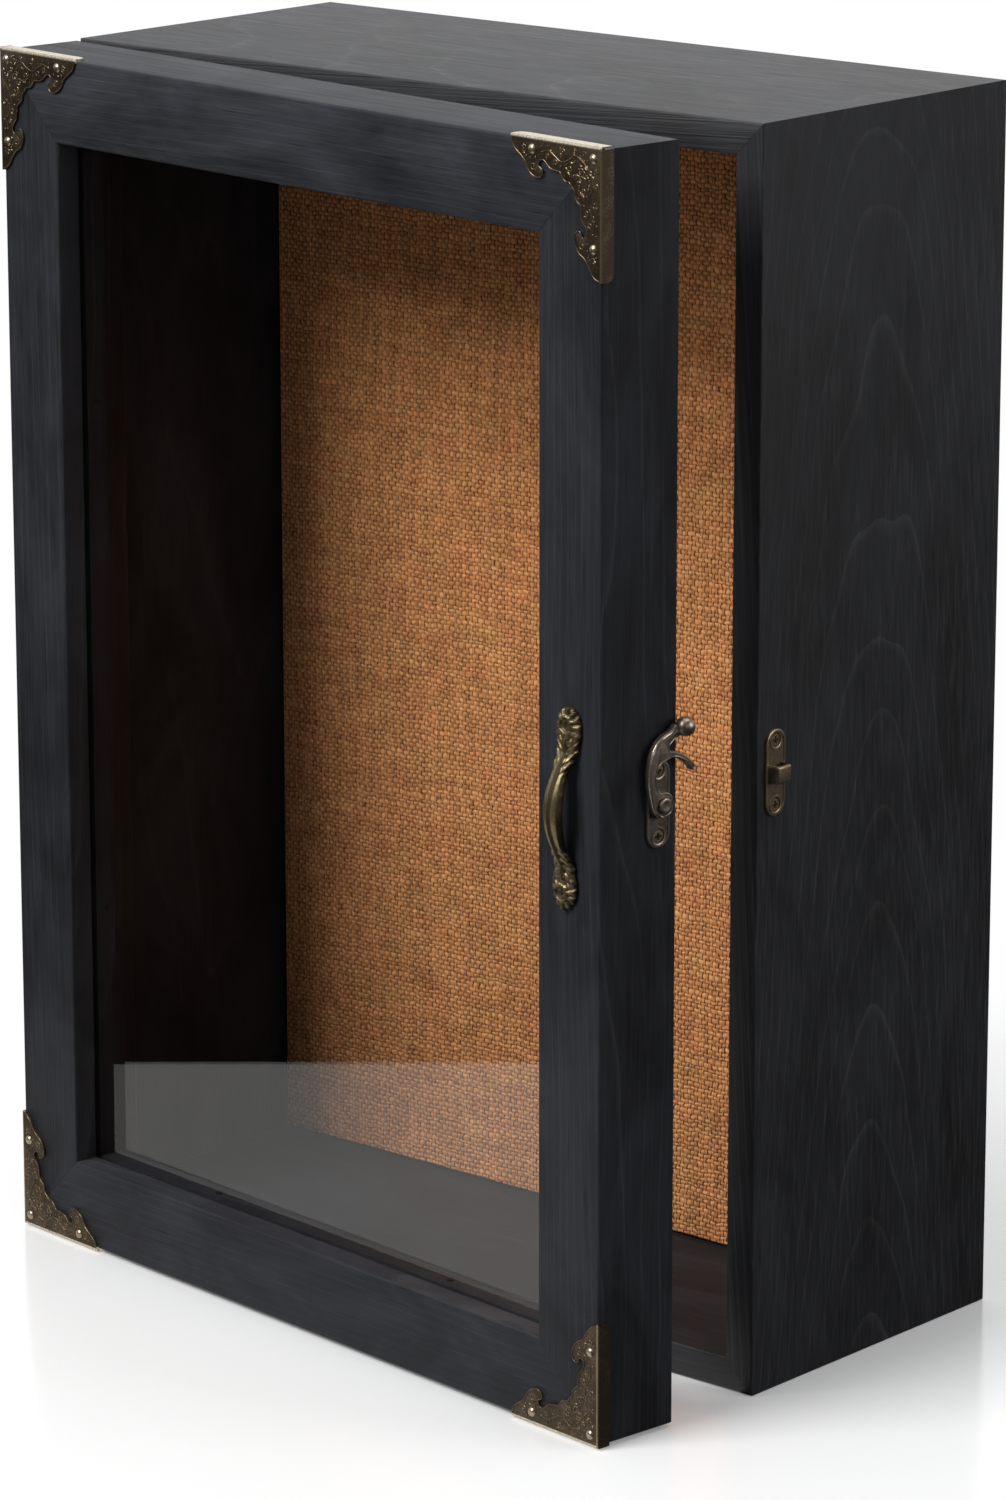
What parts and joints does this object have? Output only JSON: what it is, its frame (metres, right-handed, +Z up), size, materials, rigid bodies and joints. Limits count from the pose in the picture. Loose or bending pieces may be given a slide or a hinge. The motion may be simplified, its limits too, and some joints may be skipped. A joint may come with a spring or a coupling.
{
  "type": "display case",
  "caption": "Upright wooden display case with a side-hinged glass door, a linen pin board, a handle and a swing-hook latch.",
  "frame": {"origin": "centre of the case's bottom face, on the surface that it stands on", "axes": "+X right as seen from the front, +Y back, +Z up; the door faces -Y and stands ajar at rest"},
  "size_m": [0.3109, 0.206, 0.4201],
  "materials": {
    "black_wood": "black stain with the grain showing, satin",
    "back_board": "painted hardboard, matt",
    "pine": "bare sawn softwood",
    "fibre_board": "soft fibre board that takes pins",
    "linen": "coarse plain weave, tan",
    "glass": "clear float glass",
    "antique_bronze": "dark antique bronze plating, brighter on worn edges",
    "steel": "plain wire brads"
  },
  "bodies": {
    "case": {"case_top": "black_wood", "case_bottom": "black_wood", "case_left_side": "black_wood", "case_right_side": "black_wood", "back_panel": "back_board", "back_panel_brads": "steel", "pin_board_core": "fibre_board", "pin_board_linen": "linen", "batten_top": "pine", "batten_bottom": "pine", "batten_left": "pine", "batten_right": "pine", "upper_hinge_case_leaf": "antique_bronze", "upper_hinge_pin": "antique_bronze", "lower_hinge_case_leaf": "antique_bronze", "lower_hinge_pin": "antique_bronze", "hinge_case_screws": "antique_bronze", "catch_plate": "antique_bronze", "catch_screws": "antique_bronze"},
    "door": {"door_top_rail": "black_wood", "door_bottom_rail": "black_wood", "door_left_stile": "black_wood", "door_right_stile": "black_wood", "glass_pane": "glass", "glass_bead_top": "black_wood", "glass_bead_bottom": "black_wood", "glass_bead_left": "black_wood", "glass_bead_right": "black_wood", "glass_bead_brads": "steel", "bracket_top_left": "antique_bronze", "bracket_top_right": "antique_bronze", "bracket_bottom_left": "antique_bronze", "bracket_bottom_right": "antique_bronze", "bracket_nails": "antique_bronze", "handle": "antique_bronze", "handle_screws": "antique_bronze", "upper_hinge_door_leaf": "antique_bronze", "lower_hinge_door_leaf": "antique_bronze", "hinge_door_screws": "antique_bronze", "latch_plate": "antique_bronze", "latch_plate_screws": "antique_bronze", "latch_rivet": "antique_bronze"},
    "latch_arm": {"latch_arm": "antique_bronze"}
  },
  "joints": [
    {"name": "door_hinge", "type": "hinge", "parent": "case", "child": "door", "pos_m": [-0.1518, -0.06365, 0.21], "axis": [0, 0, -1], "range_deg": [-7.1, 172.9]},
    {"name": "latch_swing", "type": "hinge", "parent": "door", "child": "latch_arm", "pos_m": [0.149, -0.10983, 0.21], "axis": [-0.9923, 0.1236, 0], "range_deg": [-75, 60]}
  ]
}
